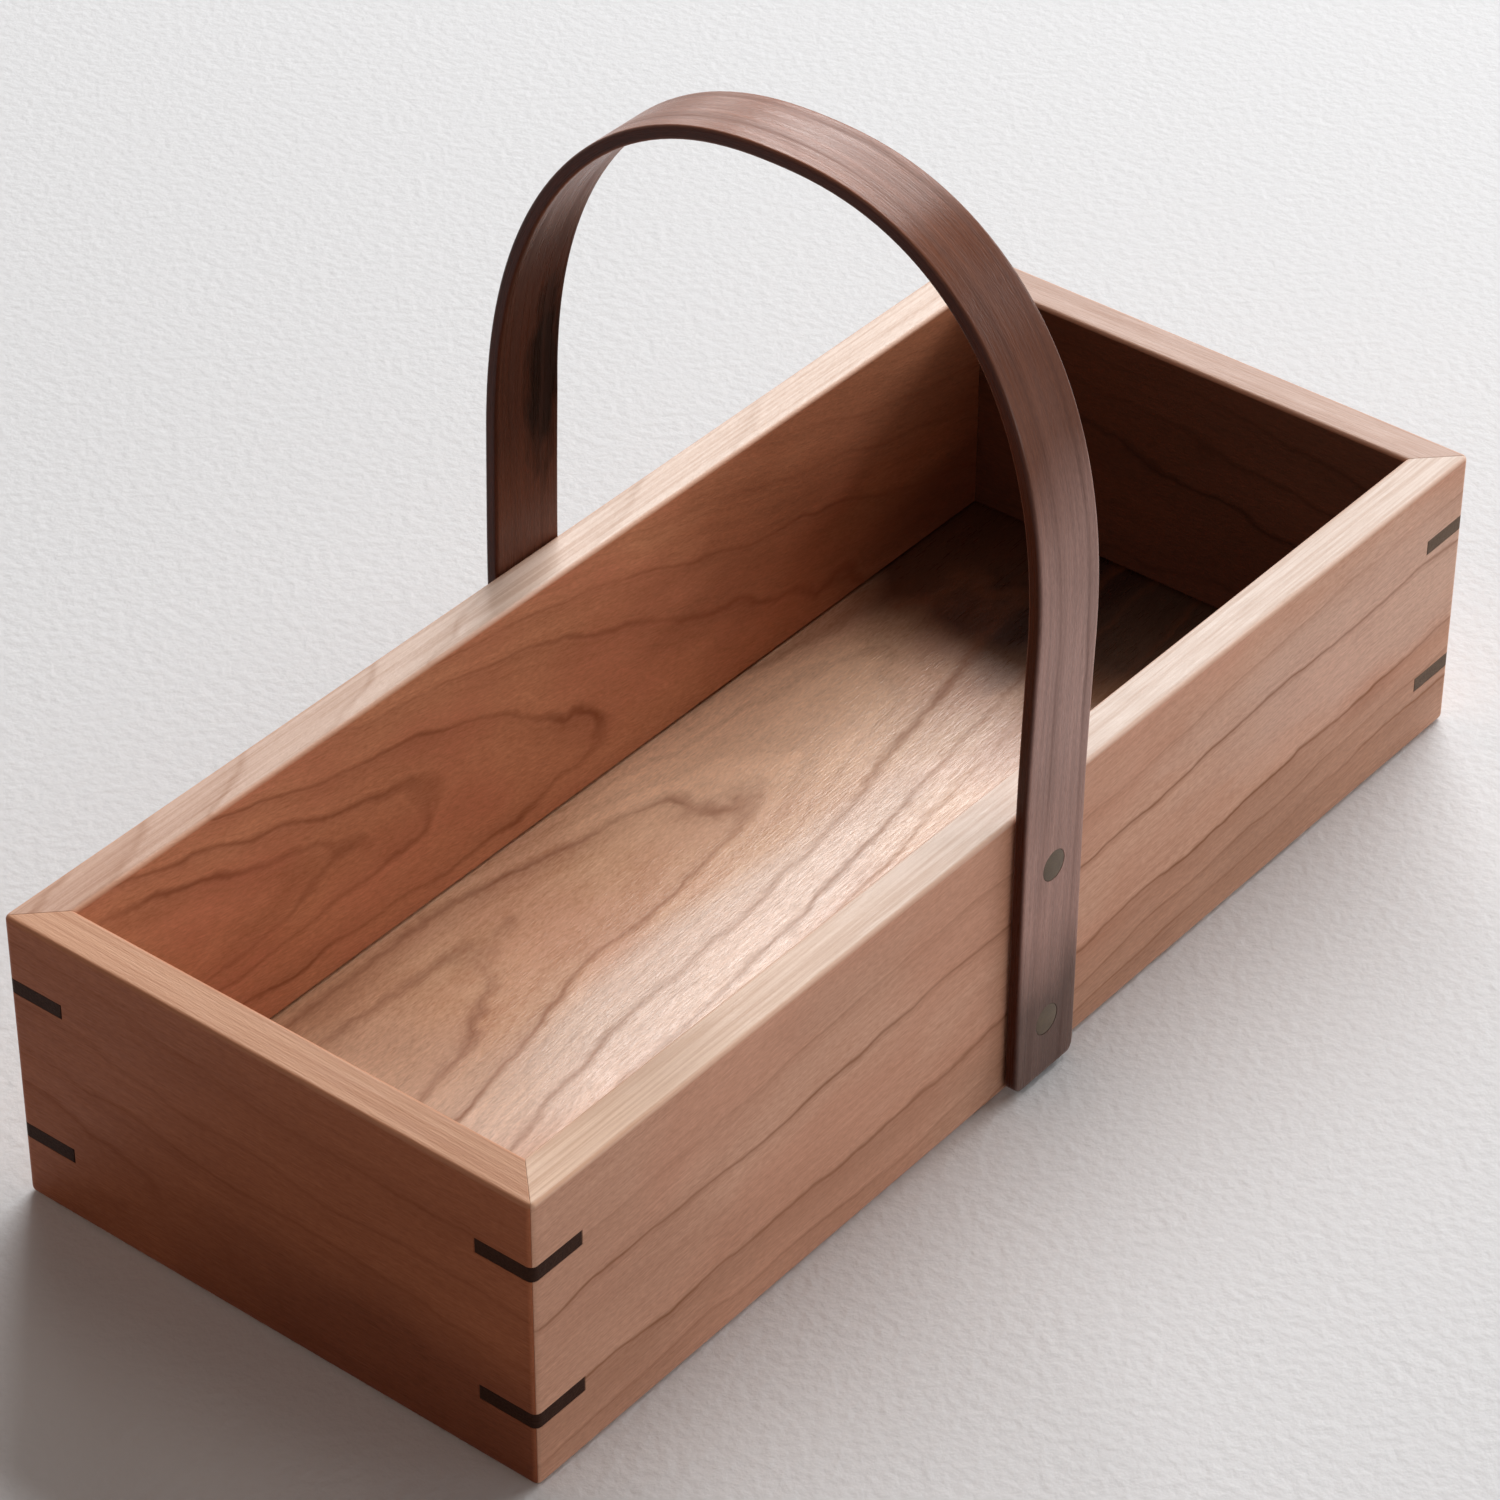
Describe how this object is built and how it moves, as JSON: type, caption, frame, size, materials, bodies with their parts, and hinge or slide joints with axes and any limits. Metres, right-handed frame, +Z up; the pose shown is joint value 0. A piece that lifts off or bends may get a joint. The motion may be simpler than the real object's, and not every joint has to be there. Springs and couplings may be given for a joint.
{
  "type": "wooden storage box",
  "caption": "Open rectangular wooden box with keyed mitred corners, a grooved-in bottom and a fixed bent strip handle that arches over it from side to side.",
  "frame": {"origin": "under the middle of the box, on the surface that it stands on", "axes": "+X along the long walls, +Y across the box along the arch of the handle, +Z up"},
  "size_m": [0.28, 0.1271, 0.1789],
  "materials": {
    "cherry": "oiled satin",
    "cherry_panel": "oiled satin",
    "walnut": "oiled satin",
    "walnut_key": "oiled satin",
    "peg_wood": "oiled satin"
  },
  "bodies": {
    "root": {"front_wall": "cherry", "back_wall": "cherry", "left_wall": "cherry", "right_wall": "cherry", "bottom_panel": "cherry_panel", "corner_key_front_left_lower": "walnut_key", "corner_key_front_left_upper": "walnut_key", "corner_key_front_right_lower": "walnut_key", "corner_key_front_right_upper": "walnut_key", "corner_key_back_left_lower": "walnut_key", "corner_key_back_left_upper": "walnut_key", "corner_key_back_right_lower": "walnut_key", "corner_key_back_right_upper": "walnut_key", "handle": "walnut", "peg_front_lower": "peg_wood", "peg_front_upper": "peg_wood", "peg_back_lower": "peg_wood", "peg_back_upper": "peg_wood"}
  },
  "joints": []
}
